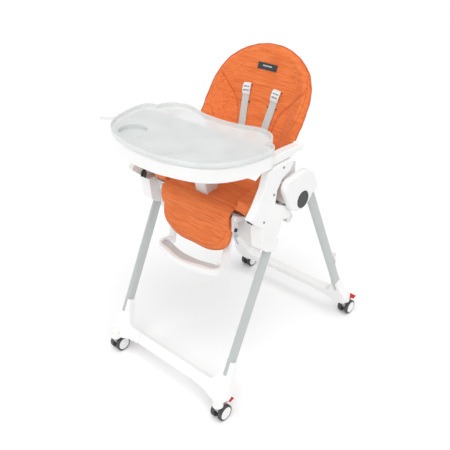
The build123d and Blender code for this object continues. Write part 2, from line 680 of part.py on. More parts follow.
# ---------------------------------------------------------------- write every node
pieces = {}
for name, solid in (("front_foot", foot(True)), ("rear_foot", foot(False)), ("leg_top", leg_top()),
                    ("hinge_cover", hinge_cover()), ("fold_button", fold_button()),
                    ("slider_housing", slider_housing()), ("armrest", armrest()),
                    ("height_lever", height_lever()), ("legrest_button", legrest_button())):
    for side, shape in pair(solid).items():
        pieces[f"{name}_{side}"] = shape
for side, s in SIDES.items():
    pieces[f"front_leg_tube_{side}"] = leg_tube(s, True, FRONT_TOP - 8)
    pieces[f"rear_leg_tube_{side}"] = leg_tube(s, False, REAR_TOP - 2)
    for end in ("front", "rear"):
        x = s * TRACK / 2
        y = -WHEELBASE / 2 if end == "front" else WHEELBASE / 2
        pieces[f"caster_housing_{end}_{side}"] = caster_housing(x, y)
        pieces[f"caster_wheels_{end}_{side}"] = caster_wheels(x, y)
        pieces[f"brake_pedal_{end}_{side}"] = brake_pedal(x, y)
pieces["front_crossbar"] = crossbar(True)
pieces["rear_crossbar"] = crossbar(False)
hook = pair(tray_hook())
pieces["tray_hooks"] = group(hook["left"], hook["right"])
pieces["seat_cross_member"] = seat_cross_member()
pieces["seat_shell"] = seat_shell()
pieces["seat_cushion"] = seat_cushion()
pieces["housing_screws"] = housing_screws()
pieces["strap_tabs"] = strap_tabs()
pieces["backrest_cushion"] = backrest_cushion()
pieces["backrest_shell"] = backrest_shell()
pieces["shoulder_straps"] = shoulder_straps()
pieces["strap_adjusters"] = strap_adjusters()
pieces["back_label"] = back_label()
pieces["recline_handle"] = recline_handle()
pieces["legrest_cushion"] = legrest_cushion()
pieces["legrest_shell"] = legrest_shell()
pieces["footrest_frame"] = footrest_frame()
pieces["footrest_tread"] = footrest_tread()
pieces["tray_base"] = tray_base()
pieces["crotch_post"] = crotch_post()
pieces["over_tray"] = over_tray()
for node, shape in pieces.items():
    save(shape, node)
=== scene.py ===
"""Looks of the folding high chair: padded fabric, webbing, mouldings, painted tube, wheels and stage."""

import json
import math

import bmesh
import bpy
import numpy as np
from bpy.props import FloatProperty, FloatVectorProperty, IntProperty, PointerProperty
from mathutils import Matrix, Vector
from mathutils.bvhtree import BVHTree

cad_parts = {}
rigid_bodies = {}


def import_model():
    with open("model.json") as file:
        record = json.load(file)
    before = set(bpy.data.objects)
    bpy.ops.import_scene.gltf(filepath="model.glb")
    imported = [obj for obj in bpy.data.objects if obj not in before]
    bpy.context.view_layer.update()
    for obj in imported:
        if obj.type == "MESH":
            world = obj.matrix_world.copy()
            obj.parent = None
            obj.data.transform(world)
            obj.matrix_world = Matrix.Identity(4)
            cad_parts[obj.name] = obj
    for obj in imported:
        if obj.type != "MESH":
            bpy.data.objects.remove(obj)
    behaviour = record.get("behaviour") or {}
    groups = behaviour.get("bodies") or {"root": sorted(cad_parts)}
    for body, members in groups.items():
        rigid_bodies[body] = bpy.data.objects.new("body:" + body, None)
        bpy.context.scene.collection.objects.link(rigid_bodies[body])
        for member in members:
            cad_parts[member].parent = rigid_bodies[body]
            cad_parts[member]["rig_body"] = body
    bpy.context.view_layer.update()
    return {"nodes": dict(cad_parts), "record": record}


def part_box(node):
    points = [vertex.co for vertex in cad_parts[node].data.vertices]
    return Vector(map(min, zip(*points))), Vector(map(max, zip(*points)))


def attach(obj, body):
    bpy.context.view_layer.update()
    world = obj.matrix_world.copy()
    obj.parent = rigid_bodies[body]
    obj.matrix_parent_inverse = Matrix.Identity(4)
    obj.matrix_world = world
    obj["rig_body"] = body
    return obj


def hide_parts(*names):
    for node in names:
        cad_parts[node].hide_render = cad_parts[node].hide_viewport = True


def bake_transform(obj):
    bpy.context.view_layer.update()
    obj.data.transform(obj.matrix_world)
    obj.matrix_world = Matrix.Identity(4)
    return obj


bl_info = {
    "name": "Folding High Chair",
    "version": (1, 0, 0),
    "blender": (4, 5, 0),
    "location": "View3D > Sidebar > High Chair",
    "description": "Builds the fabric, fittings and finishes of a folding high chair around its frame",
    "category": "Object",
}

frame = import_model()
NODES = frame["nodes"]
ENDS = ("front", "rear")
SIDES = {"left": -1, "right": 1}
CASTERS = [f"{end}_{side}" for end in ENDS for side in SIDES]

# The middle of the back pad's front face, and the directions along it and out of it.
BACK_LEAN = math.radians(20.94)
BACK_ORIGIN = Vector((0, 0.114, 0.871))
BACK_UP = Vector((0, math.sin(BACK_LEAN), math.cos(BACK_LEAN)))
BACK_OUT = Vector((0, -math.cos(BACK_LEAN), math.sin(BACK_LEAN)))
ACROSS = Vector((1, 0, 0))
RIM_SLOPE = 0.243
RIM_START = 0.116
BACK_OUTLINE = ((0, 134), (66, 124), (121, 98), (160, 62), (181, 20), (189, -40), (187, -82), (182, -124))
# The front face of the leg pad.
LEG_LEAN = math.radians(11)
LEG_ORIGIN = Vector((0, -0.196, 0.597))
LEG_UP = Vector((0, math.sin(LEG_LEAN), math.cos(LEG_LEAN)))
LEG_OUT = Vector((0, -math.cos(LEG_LEAN), math.sin(LEG_LEAN)))
# Harness: half width and thickness of a strap, the width and height of a slot's sheet of painted shade, and
# where the tabs stand.
STRAP_HALF = 0.0125
STRAP_THICK = 0.0016
SLOT_WIDTH = 0.036
SLOT_HEIGHT = 0.0042
TAB_X = 0.2266
# The adjuster's outer half height, its inner half width, and the heights of its two openings.
LADDER_HALF = 0.0190
LADDER_OPEN = 0.0112
LADDER_SLOTS = ((-0.0085, -0.0030), (0.0040, 0.0085))
# The seat pad: where its side wings start, and the outside of the piping on them.
WING_FOLD_X = 0.137
WING_PIPING_X = 0.216
# How far out in front of a pad a ray starts, and how far the piping's line starts outside the pad.
RAY_START = 0.2
PIPING_OUT = 0.008
HUB_STEPS = 48
# Stage: the camera's place, the point it looks at, and the point the lights look at.
CAMERA_PLACE = Vector((1.1682, -1.3705, 1.4982))
CAMERA_AIM = Vector((-0.0176, -0.048, 0.45))
LIGHT_AIM = Vector((0, 0, 0.5))
SUN_SPREAD = math.radians(55)
SEEN_SKY = 0.97


# ---------------------------------------------------------------- settings
def colour(label, text, default):
    return FloatVectorProperty(name=label, description=text, subtype="COLOR", size=3, min=0, max=1,
                               default=default)


def length(label, text, default):
    return FloatProperty(name=label, description=text, subtype="DISTANCE", unit="LENGTH", min=0,
                         default=default)


class HighChairColours(bpy.types.PropertyGroup):
    fabric: colour("Fabric", "Middle shade of the melange fabric", (0.80, 0.180, 0.040))
    plastic: colour("Plastic", "White mouldings", (0.86, 0.86, 0.855))
    tube: colour("Tube", "Paint of the leg tubes", (0.50, 0.53, 0.525))
    webbing: colour("Webbing", "Shoulder straps", (0.62, 0.65, 0.64))
    button: colour("Buttons", "Fold and leg-pad buttons", (0.035, 0.037, 0.042))
    brake: colour("Brakes", "Caster brake pedals", (0.60, 0.012, 0.022))
    tyre: colour("Tyres", "Caster tyres", (0.055, 0.055, 0.058))
    liner: colour("Liner", "Frosted upper tray", (0.83, 0.855, 0.85))


class HighChairPads(bpy.types.PropertyGroup):
    voxel: length("Cell", "Cell size of the pads' meshes before smoothing", 0.005)
    inset: length("Inset", "How much smaller a pad starts before it swells", 0.0035)
    swell: length("Swell", "The furthest that a point of a pad may move", 0.009)
    pressure: FloatProperty(name="Pressure", description="Inside pressure of the pads", min=0, default=4.0)
    steps: IntProperty(name="Steps", description="Simulation steps for each pad", min=1, default=20)
    piping: length("Piping", "Radius of the piping along the edges", 0.0019)
    groove: length("Groove", "Depth of a sewn groove", 0.0038)


class HighChairStage(bpy.types.PropertyGroup):
    lens: FloatProperty(name="Lens", description="Focal length", subtype="DISTANCE_CAMERA", default=50.7)
    sun_power: FloatProperty(name="Main light", description="Strength of the broad main light", min=0,
                             default=1.70)
    fill_power: FloatProperty(name="Fill light", description="Power of the fill light", unit="POWER",
                              default=9.0)
    sky: FloatProperty(name="Sky", description="Brightness of the surroundings", min=0, default=0.64)
    floor_size: length("Floor", "Side of the floor", 30.0)


# ---------------------------------------------------------------- shader writing
class Value:
    """A shader output that takes part in arithmetic; each sign adds its Math node."""

    def __init__(self, finish, socket):
        self.finish, self.socket = finish, socket

    def maths(self, operation, *values):
        inputs = dict(enumerate(values))
        return self.finish.node("ShaderNodeMath", {"operation": operation}, inputs)

    def __add__(self, other):
        return self.maths("ADD", self, other)

    __radd__ = __add__

    def __sub__(self, other):
        return self.maths("SUBTRACT", self, other)

    def __rsub__(self, other):
        return self.maths("SUBTRACT", other, self)

    def __mul__(self, other):
        return self.maths("MULTIPLY", self, other)

    __rmul__ = __mul__

    def sine(self):
        return self.maths("SINE", self)

    def ramp(self, low, high, at_low=0.0, at_high=1.0):
        """Straight line between two levels, held flat beyond them."""
        return self.finish.node("ShaderNodeMapRange", {"clamp": True},
                                {"Value": self, "From Min": low, "From Max": high,
                                 "To Min": at_low, "To Max": at_high})


class Finish:
    """One material, written node by node."""

    def __init__(self, name):
        self.material = bpy.data.materials.new(name)
        self.material.use_nodes = True
        self.tree = self.material.node_tree
        self.shader = self.tree.nodes["Principled BSDF"]
        self.place = self.node("ShaderNodeTexCoord", output="Object")

    def node(self, kind, settings=None, inputs=None, output=0):
        made = self.tree.nodes.new(kind)
        for key, value in (settings or {}).items():
            setattr(made, key, value)
        for key, value in (inputs or {}).items():
            self.set(made.inputs[key], value)
        return Value(self, made.outputs[output])

    def set(self, socket, value):
        if isinstance(value, Value):
            self.tree.links.new(value.socket, socket)
        else:
            socket.default_value = value

    def stretched(self, scale, turn=(0, 0, 0)):
        return self.node("ShaderNodeMapping", inputs={"Vector": self.place, "Scale": scale, "Rotation": turn})

    def noise(self, scale, detail=2.0, rough=0.5, vector=None):
        return self.node("ShaderNodeTexNoise", inputs={"Vector": vector or self.place, "Scale": scale,
                                                       "Detail": detail, "Roughness": rough})

    def axis(self, name, vector=None):
        return self.node("ShaderNodeSeparateXYZ", inputs={0: vector or self.place}, output=name)

    def blend(self, share, first, second):
        first, second = [c if isinstance(c, Value) else (*c[:3], 1) for c in (first, second)]
        return self.node("ShaderNodeMix", {"data_type": "RGBA"}, {0: share, 6: first, 7: second}, output=2)

    def attribute(self, name):
        return self.node("ShaderNodeAttribute", {"attribute_name": name}, output="Fac")

    def bump(self, height, distance, strength=1.0, under=None):
        inputs = {"Height": height, "Distance": distance, "Strength": strength}
        if under is not None:
            inputs["Normal"] = under
        return self.node("ShaderNodeBump", inputs=inputs, output="Normal")

    def soft_edge(self, radius):
        return self.node("ShaderNodeBevel", {"samples": 4}, {"Radius": radius})

    def surface(self, **sockets):
        for name, value in sockets.items():
            key = name.replace("_", " ")
            if isinstance(value, tuple) and len(value) == 3:
                value = (*value, 1)
            self.set(self.shader.inputs[key], value)
        return self.material


def shade(base, factor):
    return tuple(min(1.0, c * factor) for c in base)


def moulding(name, base, rough=0.30, grain=900.0, depth=0.00006, edge=0.0009, coat=0.0):
    """Injection-moulded plastic: slight cloudiness, fine grain, rub marks and softened edges."""
    f = Finish(name)
    cloud = f.noise(7.0, 3.0)
    rubbed = f.noise(38.0, 4.0, 0.6).ramp(0.56, 0.74)
    tone = f.blend(cloud.ramp(0.3, 0.7), shade(base, 0.965), shade(base, 1.02))
    normal = f.bump(f.noise(grain, 2.0), depth, under=f.soft_edge(edge))
    return f.surface(Base_Color=f.blend(rubbed * 0.35, tone, shade(base, 0.93)),
                     Roughness=rough + cloud * 0.06 + rubbed * 0.07, Normal=normal, Coat_Weight=coat,
                     Coat_Roughness=0.12)


def painted_tube(name, base):
    """Satin paint on drawn tube: faint orange peel, fine specks, slightly duller in scattered patches."""
    f = Finish(name)
    peel = f.noise(420.0, 2.0)
    speck = f.noise(2600.0, 1.0).ramp(0.62, 0.72)
    worn = f.noise(16.0, 4.0, 0.6).ramp(0.50, 0.72)
    tone = f.blend(speck * 0.30, shade(base, 1.0), shade(base, 1.25))
    return f.surface(Base_Color=f.blend(worn * 0.4, tone, shade(base, 0.94)),
                     Roughness=0.33 + worn * 0.12, Metallic=0.25,
                     Normal=f.bump(peel, 0.00012, under=f.soft_edge(0.0006)))


def melange(name, base):
    """Woven fabric spun from light and dark threads: short streaks along X, ribs and loose fibres."""
    f = Finish(name)
    streak = f.noise(1.0, 2.0, 0.55, f.stretched((22, 420, 420)))
    long_streak = f.noise(1.0, 3.0, 0.6, f.stretched((9, 130, 130)))
    patch = f.noise(9.0, 3.0)
    share = streak * 0.46 + long_streak * 0.38 + patch * 0.16
    dark = (base[0] * 0.80, base[1] * 0.70, base[2] * 0.62)
    light = (min(1.0, base[0] * 1.08), base[1] * 1.26, base[2] * 1.55)
    tone = f.blend(share.ramp(0.47, 0.60), f.blend(share.ramp(0.36, 0.50), dark, base), light)
    # Painted shade: the fabric turns dark along the middle of each pressed groove, where shade falls.
    sewn = f.attribute("sewn")
    tone = f.blend(sewn.ramp(0.25, 1.0, 0, 0.62), tone, shade(dark, 0.55))
    across, up = f.axis("X"), f.axis("Z")
    deep = f.axis("Y")
    warp = (across * 4200.0).sine()
    weft = ((up + deep * 0.6) * 4200.0).sine()
    weave = (warp * weft).ramp(-1.0, 1.0) + streak * 1.2
    normal = f.bump(weave, 0.00035, 0.75)
    return f.surface(Base_Color=tone, Roughness=0.84 + streak * 0.14, Normal=normal, Sheen_Weight=0.15,
                     Sheen_Roughness=0.5, Sheen_Tint=(1.0, 0.55, 0.35))


def piping_cloth(name, base):
    """Bias-cut cloth round the piping: a shade darker than the fabric, with its threads showing."""
    f = Finish(name)
    thread = f.noise(900.0, 2.0)
    dark = (base[0] * 0.62, base[1] * 0.50, base[2] * 0.45)
    tone = f.blend(thread.ramp(0.35, 0.65), dark, shade(base, 0.86))
    return f.surface(Base_Color=tone, Roughness=0.80 + thread * 0.15, Normal=f.bump(thread, 0.0002),
                     Sheen_Weight=0.25)


def webbing(name, base, rib=2600.0):
    """Flat woven strap: fine ribs across the band and a slightly fuzzy surface."""
    f = Finish(name)
    ribs = ((f.axis("Z") + f.axis("Y") * 0.37) * rib).sine().ramp(-1.0, 1.0)
    threads = (f.axis("X") * 5200.0).sine().ramp(-1.0, 1.0)
    fuzz = f.noise(160.0, 3.0, 0.6)
    share = ribs * 0.4 + threads * 0.25 + fuzz * 0.5
    return f.surface(Base_Color=f.blend(share.ramp(0.25, 0.85), shade(base, 0.76), shade(base, 1.10)),
                     Roughness=0.78 + fuzz * 0.12, Normal=f.bump(ribs * threads + fuzz * 0.4, 0.0004),
                     Sheen_Weight=0.2)


def frosted(name, base):
    """Translucent milky plastic with a satin face."""
    f = Finish(name)
    cloud = f.noise(11.0, 3.0)
    grain = f.noise(1500.0, 2.0)
    return f.surface(Base_Color=f.blend(cloud.ramp(0.3, 0.7), shade(base, 0.97), shade(base, 1.04)),
                     Roughness=0.24 + cloud * 0.10, Alpha=0.60 + cloud * 0.12, IOR=1.46,
                     Normal=f.bump(grain, 0.00005, under=f.soft_edge(0.0016)))


def rubber(name, base):
    """Soft tyre rubber with grooves that run round it and scattered dust."""
    f = Finish(name)
    rings = (f.axis("X") * 3600.0).sine().ramp(-1.0, 1.0)
    dust = f.noise(60.0, 4.0, 0.6)
    return f.surface(Base_Color=f.blend(dust.ramp(0.45, 0.8, 0, 0.5), base, (0.20, 0.19, 0.175)),
                     Roughness=0.62 + dust * 0.25,
                     Normal=f.bump(rings + dust * 0.5, 0.0003, under=f.soft_edge(0.0008)))


def steel(name):
    """Brushed screw heads."""
    f = Finish(name)
    lines = f.noise(1.0, 2.0, 0.5, f.stretched((90, 2400, 2400)))
    return f.surface(Base_Color=f.blend(lines, (0.16, 0.16, 0.17), (0.30, 0.30, 0.31)), Metallic=0.9,
                     Roughness=0.30 + lines * 0.18, Normal=f.bump(lines, 0.00005))


def tread_plastic(name, base):
    """Satin plastic with fine anti-slip pips."""
    f = Finish(name)
    pips = ((f.axis("X") * 1250.0).sine() * (f.axis("Y") * 1250.0).sine()).ramp(0.2, 0.9)
    cloud = f.noise(14.0, 3.0)
    return f.surface(Base_Color=f.blend(pips * 0.3 + cloud * 0.3, shade(base, 0.93), shade(base, 1.05)),
                     Roughness=0.48 + cloud * 0.12, Normal=f.bump(pips, 0.0004, under=f.soft_edge(0.0008)))


def finishes():
    c = bpy.context.scene.high_chair_colours
    fabric, plastic = tuple(c.fabric), tuple(c.plastic)
    return {
        "white_plastic": moulding("white_moulding", plastic),
        "pale_grey_plastic": moulding("pale_grey_moulding", shade(plastic, 0.88), 0.36),
        "tube_paint": painted_tube("leg_paint", tuple(c.tube)),
        "orange_fabric": melange("melange_fabric", fabric),
        "piping": piping_cloth("piping_cloth", fabric),
        "webbing": webbing("strap_webbing", tuple(c.webbing)),
        "dark_webbing": webbing("dark_webbing", (0.02, 0.02, 0.022)),
        "dark_label": webbing("label_cloth", (0.030, 0.038, 0.045), 5200.0),
        "label_mark": webbing("label_stripe", (0.55, 0.57, 0.58), 5200.0),
        # Near-black sheets on the strap slots: painted shade standing in for the dark inside the openings.
        "painted_slot_shade": webbing("painted_slot_shade", (0.030, 0.012, 0.008)),
        "buckle_plastic": moulding("buckle_moulding", (0.72, 0.74, 0.735), 0.22, coat=0.3),
        "charcoal_plastic": moulding("button_moulding", tuple(c.button), 0.42, 1400.0, 0.00012),
        "screw_steel": steel("screw_steel"),
        "frosted_plastic": frosted("frosted_liner", tuple(c.liner)),
        "caster_grey": moulding("caster_moulding", (0.42, 0.43, 0.435), 0.38),
        "caster_tyre": rubber("tyre_rubber", tuple(c.tyre)),
        "red_plastic": moulding("brake_moulding", tuple(c.brake), 0.26),
        "tread": tread_plastic("tread_moulding", (0.60, 0.61, 0.61)),
        "hub": moulding("hub_moulding", shade(plastic, 0.97), 0.24, coat=0.2),
    }


# ---------------------------------------------------------------- mesh helpers
def finished(name, bm, material, body, sharp=38.0):
    """The bmesh as an object on a body, smooth except at its real edges."""
    mesh = bpy.data.meshes.new(name)
    bmesh.ops.recalc_face_normals(bm, faces=bm.faces)
    bm.to_mesh(mesh)
    bm.free()
    mesh.shade_smooth()
    if sharp:
        mesh.set_sharp_from_angle(angle=math.radians(sharp))
    obj = bpy.data.objects.new(name, mesh)
    bpy.context.scene.collection.objects.link(obj)
    mesh.materials.append(material)
    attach(obj, body)
    return obj


def evaluated_mesh(obj):
    """What the object's modifiers make of its mesh, as a new mesh."""
    bpy.context.view_layer.update()
    graph = bpy.context.evaluated_depsgraph_get()
    return bpy.data.meshes.new_from_object(obj.evaluated_get(graph))


def coordinates(mesh):
    co = np.zeros(len(mesh.vertices) * 3, np.float32)
    mesh.vertices.foreach_get("co", co)
    return co.reshape(-1, 3).astype(float)


def normals(mesh):
    no = np.zeros(len(mesh.vertices) * 3, np.float32)
    mesh.vertex_normals.foreach_get("vector", no)
    return no.reshape(-1, 3).astype(float)


def place_vertices(mesh, co):
    mesh.vertices.foreach_set("co", co.astype(np.float32).ravel())
    mesh.update()


def rounded_copy(node, name, voxel, inset, rounds):
    """An evenly celled, rounded and slightly smaller copy of a soft CAD solid."""
    bm = bmesh.new()
    bm.from_mesh(NODES[node].data)
    bmesh.ops.remove_doubles(bm, verts=bm.verts, dist=1e-5)
    mesh = bpy.data.meshes.new(name)
    bm.to_mesh(mesh)
    bm.free()
    obj = bpy.data.objects.new(name, mesh)
    bpy.context.scene.collection.objects.link(obj)
    remesh = obj.modifiers.new("cells", "REMESH")
    remesh.mode = "VOXEL"
    remesh.voxel_size = voxel
    obj.data = evaluated_mesh(obj)
    obj.modifiers.clear()
    bm = bmesh.new()
    bm.from_mesh(obj.data)
    for _ in range(rounds):
        bmesh.ops.smooth_vert(bm, verts=bm.verts, factor=0.5, use_axis_x=True, use_axis_y=True,
                              use_axis_z=True)
    bm.to_mesh(obj.data)
    bm.free()
    place_vertices(obj.data, coordinates(obj.data) - normals(obj.data) * inset)
    return obj


def swollen(obj, pads):
    """The pad's cover under inside pressure, with each point's travel capped."""
    start = coordinates(obj.data)
    cloth = obj.modifiers.new("cover", "CLOTH")
    settings = cloth.settings
    settings.quality = 4
    settings.mass = 0.3
    settings.use_pressure = True
    settings.uniform_pressure_force = pads.pressure
    settings.tension_stiffness = settings.compression_stiffness = 12
    settings.shear_stiffness = 4
    settings.bending_stiffness = 0.6
    settings.effector_weights.gravity = 0
    cloth.collision_settings.use_collision = False
    scene = bpy.context.scene
    for step in range(1, pads.steps + 1):
        scene.frame_set(step)
    moved = coordinates(evaluated_mesh(obj)) - start
    obj.modifiers.clear()
    scene.frame_set(1)
    travel = np.linalg.norm(moved, axis=1, keepdims=True)
    place_vertices(obj.data, start + moved * np.minimum(1.0, pads.swell / np.maximum(travel, 1e-9)))


def finer(obj):
    """One subdivision of the pad's mesh, made part of it."""
    fine = obj.modifiers.new("finer", "SUBSURF")
    fine.levels = fine.render_levels = 1
    mesh = evaluated_mesh(obj)
    obj.modifiers.clear()
    obj.data = mesh


def distance_to_path(points, path):
    """For each point, the distance to the nearest run of the path."""
    best = np.full(len(points), 1e9)
    for a, b in zip(path[:-1], path[1:]):
        a, b = np.array(a, float), np.array(b, float)
        along = b - a
        share = np.clip(((points - a) @ along) / max(along @ along, 1e-12), 0, 1)
        best = np.minimum(best, np.linalg.norm(points - (a + share[:, None] * along), axis=1))
    return best


def sew(obj, seams):
    """Presses sewn grooves into the pad and marks their middles for painted shade in the fabric.
    A seam is its path, half width and depth; a negative depth raises a ridge."""
    co, no = coordinates(obj.data), normals(obj.data)
    groove_shade = np.zeros(len(co))
    shift = np.zeros(len(co))
    for path, half, depth in seams:
        near = np.clip(1 - distance_to_path(co, path) / half, 0, 1)
        shift += depth * near * near * (3 - 2 * near)
        # Painted shade: the middle of each pressed groove is marked to be drawn darker.
        if depth > 0:
            groove_shade = np.maximum(groove_shade, np.clip(1 - distance_to_path(co, path) / (half * 0.5), 0, 1))
    place_vertices(obj.data, co - no * shift[:, None])
    made = obj.data.attributes.new("sewn", "FLOAT", "POINT")
    made.data.foreach_set("value", groove_shade.astype(np.float32))


def fit_box(obj, node):
    """Stretches the pad a little so that it fills the box of its CAD solid again."""
    low, high = [np.array(corner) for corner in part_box(node)]
    co = coordinates(obj.data)
    own_low, own_high = co.min(0), co.max(0)
    place_vertices(obj.data, low + (co - own_low) * (high - low) / (own_high - own_low))


def tree_of(obj):
    """The pad's surface, ready to be asked for its nearest point."""
    bm = bmesh.new()
    bm.from_mesh(obj.data)
    made = BVHTree.FromBMesh(bm)
    bm.free()
    return made


def smooth_line(points, per_run=8):
    """Points along a smooth line that passes through all the given ones."""
    ends = [points[0] * 2 - points[1], *points, points[-1] * 2 - points[-2]]
    out = []
    for before, a, b, after in zip(ends[:-3], ends[1:-2], ends[2:-1], ends[3:]):
        for k in range(per_run):
            t = k / per_run
            out.append(0.5 * (2 * a + (b - before) * t + (2 * before - 5 * a + 4 * b - after) * t**2
                              + (3 * a - before - 3 * b + after) * t**3))
    return [*out, points[-1].copy()]


def evened(path, rounds=3):
    """The path with small kinks taken out, its ends kept."""
    for _ in range(rounds):
        path = [path[0], *[(a + 2 * b + c) / 4 for a, b, c in zip(path[:-2], path[1:-1], path[2:])], path[-1]]
    return path


def on_surface(tree, points, lift=0.0):
    """The points moved to the nearest place on a pad, and out of it by lift."""
    out = []
    for p in points:
        spot, normal, _, _ = tree.find_nearest(p)
        out.append(spot + normal * lift)
    return out


def from_front(tree, points, out_way, lift=0.0):
    """The points dropped onto a pad from its front."""
    found = []
    for p in points:
        hit, _, _, _ = tree.ray_cast(p + out_way * RAY_START, -out_way)
        found.append((hit if hit is not None else p) + out_way * lift)
    return found


def tube_mesh(bm, path, radius, sides=8):
    """A round cord swept along the path, its ends capped, added to the bmesh."""
    rings = []
    for p, behind, ahead in zip(path, [path[0], *path[:-1]], [*path[1:], path[-1]]):
        way = (ahead - behind).normalized()
        turn = way.to_track_quat("Z", "Y").to_matrix().to_4x4()
        ring = bmesh.ops.create_circle(bm, segments=sides, radius=radius, matrix=Matrix.Translation(p) @ turn)
        rings.append(ring["verts"])
    loops = []
    for ring in rings:
        members = set(ring)
        loops.append(list({e for v in ring for e in v.link_edges if e.other_vert(v) in members}))
    for first, second in zip(loops[:-1], loops[1:]):
        bmesh.ops.bridge_loops(bm, edges=first + second)
    for ring in (loops[0], loops[-1]):
        bmesh.ops.edgeloop_fill(bm, edges=ring)


def ribbon(bm, centres, acrosses, thickness):
    """A flat band: one edge extruded along its centre line, then given its thickness."""
    start = [bm.verts.new(centres[0] - acrosses[0]), bm.verts.new(centres[0] + acrosses[0])]
    edge = bm.edges.new(start)
    faces, edges = [], [edge]
    for centre, across in zip(centres[1:], acrosses[1:]):
        made = bmesh.ops.extrude_edge_only(bm, edges=edges)["geom"]
        edges = [g for g in made if isinstance(g, bmesh.types.BMEdge) and all(v in made for v in g.verts)][:1]
        verts = [g for g in made if isinstance(g, bmesh.types.BMVert)]
        verts.sort(key=lambda v: v.co.dot(across))
        verts[0].co, verts[1].co = centre - across, centre + across
        faces += [g for g in made if isinstance(g, bmesh.types.BMFace)]
    bmesh.ops.recalc_face_normals(bm, faces=faces)
    bmesh.ops.solidify(bm, geom=faces, thickness=thickness)


# ---------------------------------------------------------------- operators
MATERIALS = {}
PADS = {}


def back_point(x, v, height=0.0):
    """A point over the back pad: across and up in millimetres, and out in metres."""
    return BACK_ORIGIN + ACROSS * (x / 1000) + BACK_UP * (v / 1000) + BACK_OUT * height


def leg_point(x, v, height=0.0):
    return LEG_ORIGIN + ACROSS * (x / 1000) + LEG_UP * (v / 1000) + LEG_OUT * height


def both_sides(points):
    return [[(s * x, v) for x, v in points] for s in (-1, 1)]


def pad(name, node, inset, rounds):
    """A padded piece made from a soft CAD solid, with its fabric on."""
    settings = bpy.context.scene.high_chair_pads
    obj = rounded_copy(node, name, settings.voxel, inset, rounds)
    swollen(obj, settings)
    fit_box(obj, node)
    finer(obj)
    obj.data.materials.clear()
    obj.data.materials.append(MATERIALS["orange_fabric"])
    obj.data.shade_smooth()
    PADS[name] = obj
    return obj


def rim_points():
    """The back pad's rim, from the left foot of the bolster over the top to the right one."""
    right = [(x, v) for x, v in BACK_OUTLINE]
    full = [(-x, v) for x, v in reversed(right[1:])] + right
    return [back_point(x, v, (RIM_START - v / 1000) * RIM_SLOPE) for x, v in full]


class HIGHCHAIR_OT_finishes(bpy.types.Operator):
    """Gives every frame part its material"""

    bl_idname = "highchair.finishes"
    bl_label = "Finishes"

    def execute(self, context):
        MATERIALS.update(finishes())
        slots = {s["node"]: s["material_slot"] for s in frame["record"]["subparts"]}
        slots["footrest_tread"] = "tread"
        for node, obj in NODES.items():
            material = MATERIALS[slots[node]]
            if not obj.material_slots:
                raise RuntimeError(f"{node} has no material slot")
            for material_slot in obj.material_slots:
                material_slot.material = material
        return {"FINISHED"}


class HIGHCHAIR_OT_back_pad(bpy.types.Operator):
    """Makes the dished back pad with its piping and sewn bolsters"""

    bl_idname = "highchair.back_pad"
    bl_label = "Back Pad"

    def execute(self, context):
        settings = context.scene.high_chair_pads
        obj = pad("back_pad", "backrest_cushion", settings.inset * 0.6, 3)
        tree = tree_of(obj)
        seams = []
        inner = both_sides(((160, 20), (132, -8), (110, -32), (92, -54),
                            (78, -78), (69, -118), (68, -170), (70, -240)))
        outer = both_sides(((150, 66), (165, 20), (171, -20), (168, -58), (158, -92), (140, -122)))
        for line in inner:
            path = smooth_line([back_point(x, v) for x, v in line])
            seams.append((from_front(tree, path, BACK_OUT), 0.0065, settings.groove))
        for line in outer:
            path = smooth_line([back_point(x, v) for x, v in line])
            seams.append((from_front(tree, path, BACK_OUT), 0.0045, settings.groove * 0.5))
        sew(obj, seams)
        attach(obj, "backrest")
        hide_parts("backrest_cushion")
        tree = tree_of(obj)
        bm = bmesh.new()
        middle = back_point(0, -10, 0.03)
        outside = [p + (p - middle).normalized() * PIPING_OUT for p in smooth_line(rim_points(), per_run=10)]
        tube_mesh(bm, evened(on_surface(tree, outside, settings.piping * 0.3)), settings.piping)
        finished("back_piping", bm, MATERIALS["piping"], "backrest")
        return {"FINISHED"}


class HIGHCHAIR_OT_seat_pad(bpy.types.Operator):
    """Makes the seat pad with its raised side wings"""

    bl_idname = "highchair.seat_pad"
    bl_label = "Seat Pad"

    def execute(self, context):
        settings = context.scene.high_chair_pads
        obj = pad("seat_pad", "seat_cushion", settings.inset, 4)
        low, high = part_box("seat_cushion")
        tree = tree_of(obj)
        seams = []
        up = Vector((0, 0, 1))
        for s in (-1, 1):
            fold = [Vector((s * WING_FOLD_X, y, 0.62)) for y in np.linspace(low.y + 0.012, high.y - 0.01, 24)]
            seams.append((from_front(tree, fold, up), 0.008, settings.groove))
        front = [Vector((x, low.y + 0.014, 0.62)) for x in np.linspace(-0.186, 0.186, 60)]
        seams.append((from_front(tree, front, up), 0.0042, settings.groove * 0.6))
        cross = [Vector((x, low.y + 0.118, 0.62)) for x in np.linspace(-0.13, 0.13, 40)]
        seams.append((from_front(tree, cross, up), 0.005, settings.groove * 0.7))
        sew(obj, seams)
        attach(obj, "seat_carriage")
        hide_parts("seat_cushion")
        tree = tree_of(obj)
        for side, s in SIDES.items():
            outline = ((-0.112, 0.728), (-0.120, 0.714), (-0.137, 0.690),
                       (-0.150, 0.664), (-0.184, 0.650), (-0.191, 0.624))
            edge = [Vector((s * WING_PIPING_X, y - 0.006, z + 0.006)) for y, z in outline]
            line = smooth_line(edge, per_run=10)
            bm = bmesh.new()
            tube_mesh(bm, evened(on_surface(tree, line, settings.piping * 0.3)), settings.piping)
            finished(f"seat_piping_{side}", bm, MATERIALS["piping"], "seat_carriage")
        return {"FINISHED"}


